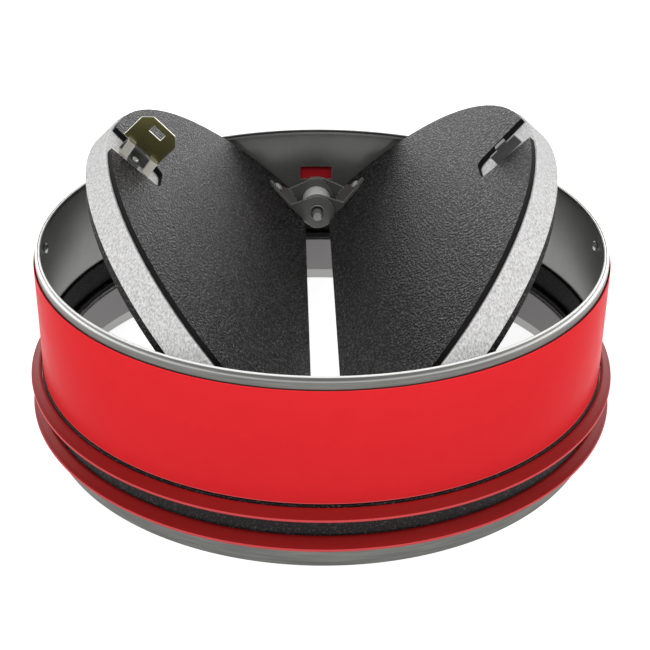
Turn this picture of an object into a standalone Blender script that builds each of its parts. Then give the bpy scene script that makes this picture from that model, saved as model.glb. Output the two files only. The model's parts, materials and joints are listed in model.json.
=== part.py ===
"""Round butterfly fire damper cartridge for a 200 mm duct, armed to close on a torsion spring.

Metres, +Z up along the duct, origin at the centre of the bottom rim, +Y towards the rear hinge.
Each blade is built lying flat in its own frame, whose origin is the hinge pin's axis, and is
then turned about that axis. The left blade is the right blade turned half a turn about Z.
"""
from math import acos, atan2, cos, hypot, pi, radians, sin

import bmesh
import bpy
from mathutils import Vector

MM = 0.001

# Clearances
SEAT_GAP = 0.30 * MM          # between two pieces that touch
GLUE_GAP = 0.15 * MM          # half the gap at a glued face
RUN_GAP = 0.10 * MM           # radial play of a turning fit
CLOSE_GAP = 0.15 * MM         # half the gap between the shut blades' straight edges
BLADE_PLAY = 2.6 * MM         # from the blade's rim to the casing's wall

# Casing
CASING_OUTER_R = 97.34 * MM
CASING_WALL = 0.74 * MM
CASING_HEIGHT = 67.0 * MM
RIM_CURL_R = 1.45 * MM
RIM_CURL_DEPTH = 2.04 * MM    # from the curl's outside to its inner edge
RING_STEPS = 72
CASING_INNER_R = CASING_OUTER_R - CASING_WALL

# Hinge axis, and how far each blade stands open
PIN_Z = 40.9 * MM
LEFT_OPEN = radians(45.9)
RIGHT_OPEN = radians(47.13)

# Blade, measured from the hinge axis: core top below it, disc centre beside it
PIN_ABOVE_CORE = 8.35 * MM
CENTRE_OFFSET = 0.52 * MM
CORE_R = CASING_INNER_R - BLADE_PLAY
CORE_THICK = 10.0 * MM
UPPER_SKIN_R = CORE_R - 0.7 * MM
UPPER_SKIN_THICK = 2.0 * MM
LOWER_SKIN_R = CORE_R - 3.4 * MM
LOWER_SKIN_THICK = 3.6 * MM
ARC_STEPS = 44

# Outside seals: a strip on the casing, and two lips that stand on it
LOWER_LIP_EDGE = 9.14 * MM
LIP_PITCH = 10.83 * MM
LIP_REACH = 3.74 * MM
LIP_ROOT_DEPTH = 0.8 * MM
LIP_THICK = 1.0 * MM
LIP_DROP = 2.6 * MM
LIP_ROOT_HEIGHT = 1.9 * MM
STRIP_THICK = 0.71 * MM
STRIP_OUTER_R = CASING_OUTER_R + SEAT_GAP + STRIP_THICK
STRIP_LOW = LOWER_LIP_EDGE + 0.76 * MM

# Red wrap round the casing
WRAP_THICK = 0.36 * MM
WRAP_LOW = LOWER_LIP_EDGE + LIP_PITCH + LIP_DROP + 1.17 * MM
WRAP_BELOW_RIM = 3.8 * MM

# Blade seal, stop ring and inner band
SEAL_DEPTH = 2.3 * MM
SEAL_HEIGHT = 1.8 * MM
SEAL_TOP = PIN_Z - PIN_ABOVE_CORE - CORE_THICK + GLUE_GAP - SEAT_GAP
STOP_LIP = 3.7 * MM
STOP_INNER_R = CASING_INNER_R - STOP_LIP
STOP_THICK = 0.8 * MM
STOP_TOP = SEAL_TOP - SEAL_HEIGHT - SEAT_GAP
STOP_LEG = 15.8 * MM
BAND_THICK = 0.8 * MM
BAND_WALL_GAP = 0.2 * MM
BAND_HEIGHT = 11.2 * MM

# Notch in the upper skin, through which the catch and the link stand
NOTCH_LENGTH = 21.9 * MM
NOTCH_INNER_HALF = 6.4 * MM
NOTCH_OUTER_HALF = 8.9 * MM
NOTCH_OFFSET_Y = 2.2 * MM
NOTCH_CORNER_R = 3.0 * MM
NOTCH_START = UPPER_SKIN_R - NOTCH_LENGTH

# Hinge pin and bush. The bush has a nose at each end that the ears turn on
PIN_R = 1.95 * MM
PIN_PROUD = 4.1 * MM          # free end of the pin beyond the nearest ear
PIN_CHAMFER = 0.35 * MM
NOSE_R = 2.95 * MM
NOSE_LIP_R = 3.3 * MM
NOSE_LIP_WIDE = 0.5 * MM
NOSE_PROUD = 0.8 * MM
BUSH_R = 5.6 * MM
SPRING_BUSH_R = 3.3 * MM
COUNTERBORE_R = 2.7 * MM
COUNTERBORE_DEPTH = 2.0 * MM
BOSS_R = 4.4 * MM
PIN_STEPS = 20

# Window in the casing above the rear hinge's boss
WINDOW_WIDTH = 12.8 * MM
WINDOW_LOW = PIN_Z + BOSS_R
WINDOW_HEIGHT = 5.5 * MM

# Hinge bracket
SHEET = 1.0 * MM
HINGE_DEPTH = 23.2 * MM       # from the casing's wall to the nearest ear
EAR_INNER_Y = CASING_INNER_R - HINGE_DEPTH
EAR_PITCH = 13.0 * MM         # from one ear of a bracket to the other
EAR_LOBE_R = 6.83 * MM
EAR_CREST_R = 8.8 * MM        # crest of the ear nearest the wall
LOBE_STEPS = 36
CREST_START = radians(8)
CREST_END = radians(60)
FLANGE_NEAR = 6.2 * MM
FLANGE_FAR_INNER = 9.6 * MM
FLANGE_FAR_OUTER = 10.8 * MM
TONGUE_OFFSET = -2.2 * MM     # from the middle of the flange, away from the wall
TONGUE_RIVET = 17.1 * MM
TONGUE_POINT = 3.7 * MM       # from the rivet to the tongue's tip
TONGUE_LEAN = 1.3 * MM        # how far the tip leans back towards the wall
TONGUE_RIVET_HALF = 2.1 * MM
TONGUE_TIP_HALF = 0.35 * MM

# Rivets
RIVET_SHANK_R = 1.0 * MM
RIVET_HEAD_R = 1.7 * MM
RIVET_HEAD_H = 1.0 * MM
RIVET_DEPTH = 6.0 * MM
RIVET_STEPS = 12
SIDE_RIVET_BELOW_RIM = 8.6 * MM
SIDE_RIVET_ANGLE = radians(3.65)
SIDE_RIVET_HEAD_R = 1.8 * MM
SIDE_RIVET_Z = CASING_HEIGHT - SIDE_RIVET_BELOW_RIM

# Catch plate on each blade, which the link hooks on
CATCH_MIDDLE = NOTCH_START + 12.0 * MM
CATCH_HALF = 5.5 * MM
CATCH_HIGH = 3.75 * MM
CATCH_SHEET = 1.0 * MM
TAB_MIDDLE = CATCH_MIDDLE - 0.15 * MM
TAB_HALF = 2.05 * MM
TAB_HIGH = 4.7 * MM
TAB_LIP = 1.4 * MM
TAB_LIP_THICK = 0.8 * MM
CATCH_FOOT_MIDDLE = CATCH_MIDDLE - 0.65 * MM
CATCH_FOOT_HALF = 2.15 * MM
CATCH_FOOT = 4.4 * MM
CATCH_RIVET_HEAD_R = 1.3 * MM
CATCH_RIVET_SHANK_R = 0.7 * MM

# Fusible link
LINK_SHEET = 0.6 * MM
LINK_MIDDLE = CATCH_MIDDLE - 0.3 * MM
LINK_HALF = 7.6 * MM
LINK_LOW = 4.1 * MM
LINK_HIGH = 15.6 * MM
LINK_CHAMFER = 2.8 * MM
LINK_WINDOW_HALF = TAB_HALF + 0.5 * MM
LINK_WINDOW_LOW = 10.95 * MM
LINK_WINDOW_HIGH = 13.45 * MM
PRONG_OFFSETS = (-7.0 * MM, 2.65 * MM)
PRONG_WIDTH = 3.0 * MM
PRONG_REACH = 1.3 * MM
PRONG_FOOT_Y = 5.5 * MM
PRONG_FOOT_T = 0.85 * MM
LINK_BACK_HALF = 6.1 * MM
LINK_BACK_LOW = 5.2 * MM
LINK_BACK_HIGH = 10.0 * MM

# Closing spring, one half for each blade
WIRE_R = 0.5 * MM
COIL_R = 4.2 * MM
COIL_TURNS = 3
COIL_STEPS = 12
WIRE_STEPS = 6
SPRING_LEG = 13.8 * MM

COLOURS = {
    "galvanised": ((0.55, 0.55, 0.54), 0.38, 1.0),
    "red_wrap": ((0.70, 0.02, 0.02), 0.25, 0.0),
    "red_rubber": ((0.30, 0.014, 0.012), 0.55, 0.0),
    "graphite": ((0.020, 0.017, 0.018), 0.85, 0.0),
    "leather_skin": ((0.060, 0.058, 0.058), 0.60, 0.0),
    "board": ((0.82, 0.82, 0.80), 0.90, 0.0),
    "zinc": ((0.62, 0.62, 0.60), 0.30, 1.0),
    "dark_steel": ((0.20, 0.20, 0.20), 0.45, 1.0),
    "brass": ((0.33, 0.31, 0.17), 0.35, 1.0),
    "spring_steel": ((0.45, 0.45, 0.44), 0.25, 1.0),
}


# Scene, materials and objects

def clear_scene():
    for old in list(bpy.data.objects):
        bpy.data.objects.remove(old, do_unlink=True)


def material(name):
    found = bpy.data.materials.get(name)
    if found:
        return found
    colour, roughness, metallic = COLOURS[name]
    made = bpy.data.materials.new(name)
    made.use_nodes = True
    shader = made.node_tree.nodes["Principled BSDF"]
    shader.inputs["Base Color"].default_value = (*colour, 1.0)
    shader.inputs["Roughness"].default_value = roughness
    shader.inputs["Metallic"].default_value = metallic
    return made


def finish(name, mesh_data, finish_name, parent=None, smooth_angle=None):
    """Make an object of a bmesh, with outward faces, a material and a parent."""
    bmesh.ops.recalc_face_normals(mesh_data, faces=mesh_data.faces)
    mesh = bpy.data.meshes.new(name)
    mesh_data.to_mesh(mesh)
    mesh_data.free()
    made = bpy.data.objects.new(name, mesh)
    bpy.context.scene.collection.objects.link(made)
    made.data.materials.append(material(finish_name))
    if parent:
        made.parent = parent
    if smooth_angle:
        mesh.shade_smooth()
        mesh.set_sharp_from_angle(angle=smooth_angle)
    return made


def boolean(target, other, operation):
    """Cut or join a guide object, which stays in the scene but isn't part of the model."""
    other.hide_render = True
    other.display_type = "WIRE"
    step = target.modifiers.new(operation.lower(), "BOOLEAN")
    step.operation = operation
    step.object = other
    return target


def pivot(name, angle, half_turn):
    """The empty on the hinge axis that carries one blade."""
    made = bpy.data.objects.new(name, None)
    bpy.context.scene.collection.objects.link(made)
    made.location = (0.0, 0.0, PIN_Z)
    made.rotation_euler = (0.0, -angle, pi if half_turn else 0.0)
    return made


# Shapes

def turned(profile, steps, centre=(0.0, 0.0, 0.0), axis=(0.0, 0.0, 1.0), side=(1.0, 0.0, 0.0)):
    """Spin a closed profile of (radius, height) points about an axis."""
    mesh_data = bmesh.new()
    origin, along, across = Vector(centre), Vector(axis), Vector(side)
    verts = [mesh_data.verts.new(origin + across * r + along * h) for r, h in profile]
    edges = [mesh_data.edges.new((verts[i - 1], verts[i])) for i in range(len(verts))]
    bmesh.ops.spin(mesh_data, geom=verts + edges, cent=origin, axis=along,
                   angle=2 * pi, steps=steps, use_merge=True)
    bmesh.ops.remove_doubles(mesh_data, verts=mesh_data.verts, dist=1e-7)
    return mesh_data


def turned_solid(profile, steps, centre=(0.0, 0.0, 0.0), axis=(0.0, 0.0, 1.0),
                 side=(1.0, 0.0, 0.0)):
    """Spin an open profile whose two ends lie on the axis."""
    mesh_data = bmesh.new()
    origin, along, across = Vector(centre), Vector(axis), Vector(side)
    verts = [mesh_data.verts.new(origin + across * r + along * h) for r, h in profile]
    edges = [mesh_data.edges.new((verts[i], verts[i + 1])) for i in range(len(verts) - 1)]
    bmesh.ops.spin(mesh_data, geom=verts + edges, cent=origin, axis=along,
                   angle=2 * pi, steps=steps, use_merge=True)
    bmesh.ops.remove_doubles(mesh_data, verts=mesh_data.verts, dist=1e-7)
    return mesh_data


def prism(outline, low, high, place):
    """Extrude a flat outline from low to high. place(u, v, w) gives the point in space."""
    mesh_data = bmesh.new()
    verts = [mesh_data.verts.new(place(u, v, low)) for u, v in outline]
    face = mesh_data.faces.new(verts)
    made = bmesh.ops.extrude_face_region(mesh_data, geom=[face])
    shift = Vector(place(0.0, 0.0, high)) - Vector(place(0.0, 0.0, low))
    moved = [v for v in made["geom"] if isinstance(v, bmesh.types.BMVert)]
    bmesh.ops.translate(mesh_data, verts=moved, vec=shift)
    return mesh_data


def flat(u, v, w):
    """Outline in X and Y, thickness along Z."""
    return (u, v, w)


def upright(u, v, w):
    """Outline in X and Z, thickness along Y."""
    return (u, w, v)


def sideways(u, v, w):
    """Outline in Y and Z, thickness along X."""
    return (w, u, v)


def arc(centre, radius, start, end, steps):
    return [(centre[0] + radius * cos(start + (end - start) * i / steps),
             centre[1] + radius * sin(start + (end - start) * i / steps))
            for i in range(steps + 1)]


def wrapped(points):
    """The outline of a cord stretched round the points, anticlockwise."""
    ordered = sorted(set((round(u, 8), round(v, 8)) for u, v in points))

    def half(run):
        kept = []
        for p in run:
            while len(kept) > 1 and ((kept[-1][0] - kept[-2][0]) * (p[1] - kept[-2][1])
                                     <= (kept[-1][1] - kept[-2][1]) * (p[0] - kept[-2][0])):
                kept.pop()
            kept.append(p)
        return kept[:-1]

    return half(ordered) + half(ordered[::-1])


def rounded_corner(before, corner, after, radius, steps):
    """Points of the fillet between two straight edges."""
    c = Vector(corner)
    to_before = (Vector(before) - c).normalized()
    to_after = (Vector(after) - c).normalized()
    half = to_before.angle(to_after) / 2
    reach = radius / sin(half)
    centre = c + (to_before + to_after).normalized() * reach
    first = c + to_before * radius / (sin(half) / cos(half)) - centre
    last = c + to_after * radius / (sin(half) / cos(half)) - centre
    start = atan2(first.y, first.x)
    turn = (atan2(last.y, last.x) - start + pi) % (2 * pi) - pi
    return arc(centre, radius, start, start + turn, steps)


# Casing and what is fixed to it

def casing_profile():
    top = CASING_HEIGHT - RIM_CURL_R
    curl = arc((CASING_OUTER_R - RIM_CURL_R, top), RIM_CURL_R, 0.0, pi / 2, 3)
    lip_mid = CASING_HEIGHT - CASING_WALL / 2
    inner_edge = CASING_OUTER_R - RIM_CURL_DEPTH
    nose = arc((inner_edge + CASING_WALL / 2, lip_mid), CASING_WALL / 2, pi / 2, 3 * pi / 2, 2)
    under = arc((CASING_OUTER_R - RIM_CURL_R, top), RIM_CURL_R - CASING_WALL, pi / 2, 0.0, 2)
    outside = [(CASING_OUTER_R, 0.0)] + curl
    inside = nose + under + [(CASING_INNER_R, 0.0)]
    return outside + inside


def casing():
    body = finish("casing", turned(casing_profile(), RING_STEPS), "galvanised",
                  smooth_angle=radians(40))
    half = WINDOW_WIDTH / 2
    high = WINDOW_LOW + WINDOW_HEIGHT
    cut = prism([(-half, WINDOW_LOW), (half, WINDOW_LOW), (half, high), (-half, high)],
                CASING_INNER_R - 3 * MM, CASING_OUTER_R + 3 * MM, upright)
    boolean(body, finish("window_cutter", cut, "galvanised"), "DIFFERENCE")
    for name, side in (("left", -1), ("right", 1)):
        along = side_direction(side)
        profile = [(0.0, -3 * MM), (RIVET_SHANK_R + RUN_GAP, -3 * MM),
                   (RIVET_SHANK_R + RUN_GAP, 3 * MM), (0.0, 3 * MM)]
        hole = turned_solid(profile, RIVET_STEPS, along * CASING_OUTER_R + Vector((0, 0, SIDE_RIVET_Z)),
                            along, (0.0, 0.0, 1.0))
        boolean(body, finish("side_hole_" + name, hole, "galvanised"), "DIFFERENCE")


def side_direction(side):
    return Vector((side * cos(SIDE_RIVET_ANGLE), sin(SIDE_RIVET_ANGLE), 0.0))


def ring(name, inner, outer, low, high, finish_name):
    profile = [(outer, low), (outer, high), (inner, high), (inner, low)]
    return finish(name, turned(profile, RING_STEPS), finish_name, smooth_angle=radians(40))


def lip_seal(name, edge_z):
    """A ring with a short root on the strip and a lip that flares out and down."""
    root = STRIP_OUTER_R + SEAT_GAP
    edge_r = root + LIP_REACH
    top = edge_z + LIP_DROP
    profile = [
        (edge_r, edge_z),
        (edge_r, edge_z + LIP_THICK),
        (root + LIP_ROOT_DEPTH, top - 0.1 * LIP_THICK),
        (root, top),
        (root, top - LIP_ROOT_HEIGHT),
        (root + LIP_ROOT_DEPTH, top - LIP_ROOT_HEIGHT),
        (edge_r - LIP_THICK, edge_z),
    ]
    return finish(name, turned(profile, RING_STEPS), "red_rubber", smooth_angle=radians(50))


def stop_ring():
    """A leg against the wall with a lip turned inwards, which the shut blades stop at."""
    leg_outer = CASING_INNER_R - SEAT_GAP
    leg_inner = leg_outer - STOP_THICK
    profile = [
        (leg_outer, STOP_TOP - STOP_LEG),
        (leg_outer, STOP_TOP),
        (STOP_INNER_R, STOP_TOP),
        (STOP_INNER_R, STOP_TOP - STOP_THICK),
        (leg_inner, STOP_TOP - STOP_THICK),
        (leg_inner, STOP_TOP - STOP_LEG),
    ]
    return finish("stop_ring", turned(profile, RING_STEPS), "galvanised", smooth_angle=radians(40))


def side_rivet(name, side):
    along = side_direction(side)
    seat = CASING_INNER_R - SEAT_GAP
    dome = [(SIDE_RIVET_HEAD_R * sin(a), seat - 0.3 * MM - (RIVET_HEAD_H - 0.3 * MM) * cos(a))
            for a in (0.0, 0.35 * pi / 2, 0.7 * pi / 2, pi / 2)]
    profile = dome + [(SIDE_RIVET_HEAD_R, seat), (RIVET_SHANK_R, seat),
                      (RIVET_SHANK_R, CASING_OUTER_R), (0.0, CASING_OUTER_R)]
    mesh_data = turned_solid(profile, RIVET_STEPS, (0.0, 0.0, SIDE_RIVET_Z), along, (0.0, 0.0, 1.0))
    return finish(name, mesh_data, "zinc", smooth_angle=radians(40))


# Hinge hardware on the casing, for the rear (side 1) and the front (side -1)

def bush_low():
    return EAR_INNER_Y + 2 * SHEET + 2 * SEAT_GAP


def bush_high():
    return EAR_INNER_Y + EAR_PITCH - SEAT_GAP


def boss_start():
    return EAR_INNER_Y + EAR_PITCH + 2 * SHEET + 2 * SEAT_GAP


def hinge_pin(name, side):
    """A pin with a chamfered end that grows into the boss welded to the casing's wall."""
    wall = CASING_INNER_R - SEAT_GAP - BOSS_R ** 2 / (2 * CASING_INNER_R)
    free_end = EAR_INNER_Y - PIN_PROUD
    profile = [(0.0, free_end), (PIN_R - PIN_CHAMFER, free_end), (PIN_R, free_end + PIN_CHAMFER),
               (PIN_R, boss_start()), (BOSS_R, boss_start()), (BOSS_R, wall), (0.0, wall)]
    mesh_data = turned_solid(profile, PIN_STEPS, (0.0, 0.0, PIN_Z), (0.0, side, 0.0), (0.0, 0.0, 1.0))
    return finish(name, mesh_data, "zinc", smooth_angle=radians(40))


def hinge_bush(name, side, radius):
    """A spacer with a nose at each end. The free nose is counterbored and its rim rolled over."""
    free_end = EAR_INNER_Y - NOSE_PROUD
    bore = PIN_R + RUN_GAP
    far_end = boss_start() - SEAT_GAP
    profile = [
        (NOSE_LIP_R, free_end),
        (NOSE_LIP_R, free_end + NOSE_LIP_WIDE),
        (NOSE_R, free_end + NOSE_LIP_WIDE),
        (NOSE_R, bush_low()),
        (radius, bush_low()),
        (radius, bush_high()),
        (NOSE_R, bush_high()),
        (NOSE_R, far_end),
        (bore, far_end),
        (bore, free_end + COUNTERBORE_DEPTH),
        (COUNTERBORE_R, free_end + COUNTERBORE_DEPTH),
        (COUNTERBORE_R, free_end),
    ]
    mesh_data = turned(profile, PIN_STEPS, (0.0, 0.0, PIN_Z), (0.0, side, 0.0), (0.0, 0.0, 1.0))
    return finish(name, mesh_data, "zinc", smooth_angle=radians(40))


# Blade, in the frame of its own hinge axis: X out along the blade, Z up from its face

def height(t):
    """Height in the blade's frame of a level t above the core's upper face."""
    return t - PIN_ABOVE_CORE


def reach(s):
    """Distance from the hinge axis of a point at s from the disc's centre line."""
    return s - CENTRE_OFFSET


def half_disc(radius):
    """Outline of the half disc, cut straight beside the hinge axis."""
    edge = CENTRE_OFFSET + CLOSE_GAP
    limit = acos(edge / radius)
    return [(reach(radius * cos(a)), radius * sin(a))
            for a in (-limit + 2 * limit * i / ARC_STEPS for i in range(ARC_STEPS + 1))]


def plate(name, radius, low, high, finish_name, parent):
    mesh_data = prism(half_disc(radius), height(low), height(high), flat)
    return finish(name, mesh_data, finish_name, parent, smooth_angle=radians(30))


def round_cutter(name, x, y, low, high, radius, parent):
    profile = [(0.0, low), (radius, low), (radius, high), (0.0, high)]
    mesh_data = turned_solid(profile, RIVET_STEPS, (x, y, 0.0))
    return finish(name, mesh_data, "zinc", parent)


def notch_outline():
    """The notch widens from its rounded inner end out through the rim."""
    low_in = (reach(NOTCH_START), NOTCH_OFFSET_Y - NOTCH_INNER_HALF)
    high_in = (reach(NOTCH_START), NOTCH_OFFSET_Y + NOTCH_INNER_HALF)
    far = UPPER_SKIN_R + 5 * MM
    spread = NOTCH_OUTER_HALF - NOTCH_INNER_HALF
    half = NOTCH_INNER_HALF + spread * (far - NOTCH_START) / (UPPER_SKIN_R - NOTCH_START)
    low_out = (reach(far), NOTCH_OFFSET_Y - half)
    high_out = (reach(far), NOTCH_OFFSET_Y + half)
    return ([low_out, high_out] + rounded_corner(high_out, high_in, low_in, NOTCH_CORNER_R, 4)
            + rounded_corner(high_in, low_in, low_out, NOTCH_CORNER_R, 4))


def bracket_places(half_turn):
    """Each bracket's end of the duct, its direction in the blade's frame and its inner ear."""
    step = SHEET + SEAT_GAP
    near, far = ("front", "rear") if half_turn else ("rear", "front")
    return ((near, 1, EAR_INNER_Y + step), (far, -1, EAR_INNER_Y))


def tongue_centre(ear):
    return ear + (EAR_PITCH + SHEET) / 2 + TONGUE_OFFSET


def ear_outline(crest, far):
    """A lobe round the pin with a crest over it, run down to the flange's far corner."""
    low = height(UPPER_SKIN_THICK + SEAT_GAP)
    foot = [(FLANGE_NEAR, low), (far, low), (far, low + SHEET)]
    lobe = arc((0.0, 0.0), EAR_LOBE_R, 0.0, 2 * pi, LOBE_STEPS)
    over = arc((0.0, 0.0), crest, CREST_START, CREST_END, 7)
    return wrapped([(u, max(v, low)) for u, v in foot + lobe + over])


def relief_boxes():
    """Where the skin is cut back so that the other blade's ears can turn past its edge."""
    top = height(UPPER_SKIN_THICK)
    boxes = []
    for radius, start in ((EAR_LOBE_R, EAR_INNER_Y), (EAR_CREST_R, EAR_INNER_Y + EAR_PITCH)):
        far = (radius ** 2 - top ** 2) ** 0.5 + SEAT_GAP
        low = start - SEAT_GAP
        high = start + 2 * SHEET + 2 * SEAT_GAP
        boxes += [(far, side * low, side * high) for side in (1, -1)]
    return boxes


def bracket(name, side, ear, parent):
    """Two ears and a flange of bent sheet, with a tongue that is riveted to the blade."""
    low = height(UPPER_SKIN_THICK + SEAT_GAP)
    outer = ear + EAR_PITCH + SHEET
    middle = tongue_centre(ear)
    outline = [
        (FLANGE_NEAR, ear),
        (FLANGE_FAR_INNER, ear),
        (TONGUE_RIVET, middle - TONGUE_RIVET_HALF),
        (TONGUE_RIVET + TONGUE_POINT, middle + TONGUE_LEAN - TONGUE_TIP_HALF),
        (TONGUE_RIVET + TONGUE_POINT, middle + TONGUE_LEAN + TONGUE_TIP_HALF),
        (TONGUE_RIVET, middle + TONGUE_RIVET_HALF),
        (FLANGE_FAR_OUTER, outer),
        (FLANGE_NEAR, outer),
    ]
    outline = [(u, side * v) for u, v in outline]
    body = finish(name, prism(outline, low, low + SHEET, flat), "zinc", parent,
                  smooth_angle=radians(30))
    # The flange is cut back beside the outer ear, so that the other bracket's crest turns past it
    crest_reach = (EAR_CREST_R ** 2 - (low + SHEET) ** 2) ** 0.5 + SEAT_GAP
    pass_start = side * (outer - 2 * SHEET - 2 * SEAT_GAP)
    pass_end = side * (outer - SHEET)
    relief = prism([(0.0, pass_start), (crest_reach, pass_start), (crest_reach, pass_end),
                    (0.0, pass_end)], low - SHEET, low + 2 * SHEET, flat)
    boolean(body, finish(name + "_relief", relief, "zinc", parent), "DIFFERENCE")
    for label, crest, far, start in (("inner", EAR_LOBE_R, FLANGE_FAR_INNER, ear),
                                     ("outer", EAR_CREST_R, FLANGE_FAR_OUTER, ear + EAR_PITCH)):
        cheek = prism(ear_outline(crest, far), side * start, side * (start + SHEET), upright)
        boolean(body, finish(name + "_ear_" + label, cheek, "zinc", parent), "UNION")
    bore_r = NOSE_R + RUN_GAP
    bore = turned_solid([(0.0, ear - SHEET), (bore_r, ear - SHEET),
                         (bore_r, outer + SHEET), (0.0, outer + SHEET)],
                        PIN_STEPS, (0.0, 0.0, 0.0), (0.0, side, 0.0), (0.0, 0.0, 1.0))
    boolean(body, finish(name + "_bore", bore, "zinc", parent), "DIFFERENCE")
    hole = round_cutter(name + "_hole", TONGUE_RIVET, side * middle, low - SHEET, low + 2 * SHEET,
                        RIVET_SHANK_R + RUN_GAP, parent)
    boolean(body, hole, "DIFFERENCE")
    return body


def rivet(name, x, y, seat, depth, head_r, shank_r, parent):
    """A domed head on a shank that goes down into the blade."""
    rim = 0.3 * MM
    dome = [(head_r * sin(a), seat + rim + (RIVET_HEAD_H - rim) * cos(a))
            for a in (0.0, 0.35 * pi / 2, 0.7 * pi / 2, pi / 2)]
    profile = dome + [(head_r, seat), (shank_r, seat), (shank_r, seat - depth), (0.0, seat - depth)]
    return finish(name, turned_solid(profile, RIVET_STEPS, (x, y, 0.0)), "zinc", parent,
                  smooth_angle=radians(40))


def catch_plate(name, parent):
    """An upright plate with a hooked tab, on a foot riveted to the core."""
    thick_half = CATCH_SHEET / 2
    low, foot_top = height(GLUE_GAP), height(GLUE_GAP + CATCH_SHEET)
    start, end = reach(CATCH_MIDDLE - CATCH_HALF), reach(CATCH_MIDDLE + CATCH_HALF)
    tab_start, tab_end = reach(TAB_MIDDLE - TAB_HALF), reach(TAB_MIDDLE + TAB_HALF)
    outline = [
        (start, low),
        (end, low),
        (end, height(CATCH_HIGH)),
        (tab_end, height(CATCH_HIGH)),
        (tab_end, height(TAB_HIGH)),
        (tab_start, height(TAB_HIGH)),
        (tab_start, height(CATCH_HIGH)),
        (start, height(CATCH_HIGH)),
    ]
    body = finish(name, prism(outline, -thick_half, thick_half, upright), "dark_steel", parent)
    foot_start = reach(CATCH_FOOT_MIDDLE - CATCH_FOOT_HALF)
    foot_end = reach(CATCH_FOOT_MIDDLE + CATCH_FOOT_HALF)
    foot_y = thick_half + CATCH_FOOT
    foot = prism([(foot_start, -thick_half), (foot_end, -thick_half), (foot_end, foot_y),
                  (foot_start, foot_y)], low, foot_top, flat)
    boolean(body, finish(name + "_foot", foot, "dark_steel", parent), "UNION")
    lip_y = thick_half + TAB_LIP
    lip = prism([(tab_start, -thick_half), (tab_end, -thick_half), (tab_end, lip_y),
                 (tab_start, lip_y)], height(TAB_HIGH - TAB_LIP_THICK), height(TAB_HIGH), flat)
    boolean(body, finish(name + "_lip", lip, "dark_steel", parent), "UNION")
    x, y = catch_rivet_place()
    hole = round_cutter(name + "_hole", x, y, low - CATCH_SHEET, foot_top + CATCH_SHEET,
                        CATCH_RIVET_SHANK_R + RUN_GAP, parent)
    boolean(body, hole, "DIFFERENCE")
    return body


def catch_rivet_place():
    return reach(CATCH_FOOT_MIDDLE), CATCH_SHEET / 2 + CATCH_FOOT * 0.62


def blade(side, parent, half_turn):
    """Core board, two skins, brackets, rivets and catch of one blade."""
    core = plate("blade_core_" + side, CORE_R, GLUE_GAP - CORE_THICK, -GLUE_GAP, "board", parent)
    upper = plate("upper_skin_" + side, UPPER_SKIN_R, GLUE_GAP, UPPER_SKIN_THICK, "leather_skin", parent)
    plate("lower_skin_" + side, LOWER_SKIN_R, -CORE_THICK - LOWER_SKIN_THICK,
          -CORE_THICK - GLUE_GAP, "leather_skin", parent)
    notch = prism(notch_outline(), height(-0.05 * MM), height(UPPER_SKIN_THICK + MM), flat)
    boolean(upper, finish("notch_cutter_" + side, notch, "leather_skin", parent), "DIFFERENCE")
    for index, (far, start, end) in enumerate(relief_boxes()):
        relief = prism([(-far, start), (far, start), (far, end), (-far, end)],
                       height(-MM), height(UPPER_SKIN_THICK + MM), flat)
        cutter = finish("relief_%d_%s" % (index + 1, side), relief, "leather_skin", parent)
        boolean(upper, cutter, "DIFFERENCE")

    seat = height(UPPER_SKIN_THICK + 2 * SEAT_GAP) + SHEET
    for end, direction, ear in bracket_places(half_turn):
        name = end + "_" + side
        bracket("hinge_bracket_" + name, direction, ear, parent)
        y = direction * tongue_centre(ear)
        rivet("bracket_rivet_" + name, TONGUE_RIVET, y, seat, RIVET_DEPTH, RIVET_HEAD_R,
              RIVET_SHANK_R, parent)
        hole = round_cutter("blade_hole_" + name, TONGUE_RIVET, y, seat - RIVET_DEPTH - SEAT_GAP,
                            seat, RIVET_SHANK_R + RUN_GAP, parent)
        boolean(core, hole, "DIFFERENCE")
        boolean(upper, hole, "DIFFERENCE")

    catch_plate("catch_plate_" + side, parent)
    x, y = catch_rivet_place()
    foot_seat = height(GLUE_GAP + CATCH_SHEET + SEAT_GAP)
    rivet("catch_rivet_" + side, x, y, foot_seat, RIVET_DEPTH / 2, CATCH_RIVET_HEAD_R,
          CATCH_RIVET_SHANK_R, parent)
    hole = round_cutter("catch_hole_" + side, x, y, foot_seat - RIVET_DEPTH / 2 - SEAT_GAP,
                        foot_seat, CATCH_RIVET_SHANK_R + RUN_GAP, parent)
    boolean(core, hole, "DIFFERENCE")


# Fusible link, which stands on the left blade's catch

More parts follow.
